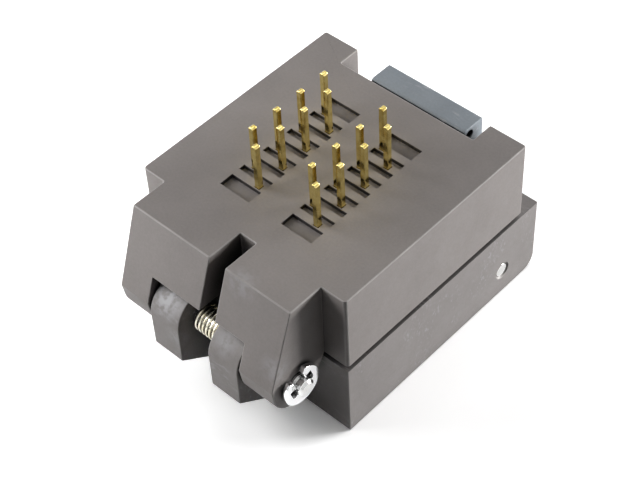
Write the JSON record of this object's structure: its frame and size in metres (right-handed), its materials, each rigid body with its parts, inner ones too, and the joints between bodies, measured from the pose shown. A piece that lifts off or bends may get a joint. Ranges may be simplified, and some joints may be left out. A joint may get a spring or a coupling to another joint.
{
  "type": "zif test socket",
  "caption": "Hinged-lid test socket for a small-outline package, with sprung pressure pad, pinned latch, gull-wing contacts and staggered solder tails for board mounting.",
  "frame": {"origin": "centre of the solder-tail pattern on the board seating face of the base", "axes": "+Z leaves the seating face along the solder tails, away from the lid; +X along the hinge pin; -Y is the hinge end and +Y the latch end"},
  "size_m": [0.0202, 0.0279, 0.0191],
  "materials": {
    "housing_base": "moulded high-temperature plastic, taupe grey-brown, satin",
    "housing_lid": "moulded high-temperature plastic, taupe grey-brown, lightly scuffed",
    "inner_plastic": "moulded dark plastic, satin",
    "pad_plastic": "moulded black plastic, fine grain",
    "latch_plastic": "moulded plastic, blue-grey, lightly scuffed",
    "contact_gold": "gold plate over copper alloy",
    "spring_steel": "bright drawn spring wire with a slight straw tint",
    "pin_steel": "ground stainless pin",
    "clip_steel": "bright plated stamped steel",
    "screw_steel": "stainless steel"
  },
  "bodies": {
    "lid": {"lid_housing": "housing_lid", "pad_keeper": "inner_plastic", "pad_spring_1": "spring_steel", "pad_spring_2": "spring_steel", "pad_spring_3": "spring_steel", "pad_spring_4": "spring_steel", "keeper_screw_1": "screw_steel", "keeper_screw_2": "screw_steel", "keeper_screw_3": "screw_steel", "keeper_screw_4": "screw_steel", "hinge_pin": "pin_steel", "hinge_clip_right": "clip_steel", "hinge_clip_left": "clip_steel", "hinge_spring": "spring_steel", "latch_pin": "pin_steel", "latch_spring": "spring_steel"},
    "pad": {"pressure_pad": "pad_plastic"},
    "latch": {"latch": "latch_plastic"},
    "base": {"base_housing": "housing_base", "package_guide": "inner_plastic", "guide_screw_1": "screw_steel", "guide_screw_2": "screw_steel", "contact_r1": "contact_gold", "contact_r2": "contact_gold", "contact_r3": "contact_gold", "contact_r4": "contact_gold", "contact_r5": "contact_gold", "contact_r6": "contact_gold", "contact_r7": "contact_gold", "contact_r8": "contact_gold", "contact_l1": "contact_gold", "contact_l2": "contact_gold", "contact_l3": "contact_gold", "contact_l4": "contact_gold", "contact_l5": "contact_gold", "contact_l6": "contact_gold", "contact_l7": "contact_gold", "contact_l8": "contact_gold"}
  },
  "joints": [
    {"name": "base_hinge", "type": "hinge", "parent": "lid", "child": "base", "pos_m": [0, -0.01167, -0.0077], "axis": [1, 0, 0], "range_deg": [0, 95]},
    {"name": "latch_hinge", "type": "hinge", "parent": "lid", "child": "latch", "pos_m": [0, 0.00953, -0.01236], "axis": [-1, 0, 0], "range_deg": [0, 25], "stiffness_Nm_per_rad": 0.004, "springref_deg": -17.19},
    {"name": "pad_slide", "type": "slide", "parent": "lid", "child": "pad", "axis": [0, 0, 1], "range_m": [-0.0008, 0], "stiffness_N_per_m": 2000, "springref_m": 0.001, "deforming": ["pad_spring_1", "pad_spring_2", "pad_spring_3", "pad_spring_4"]}
  ]
}
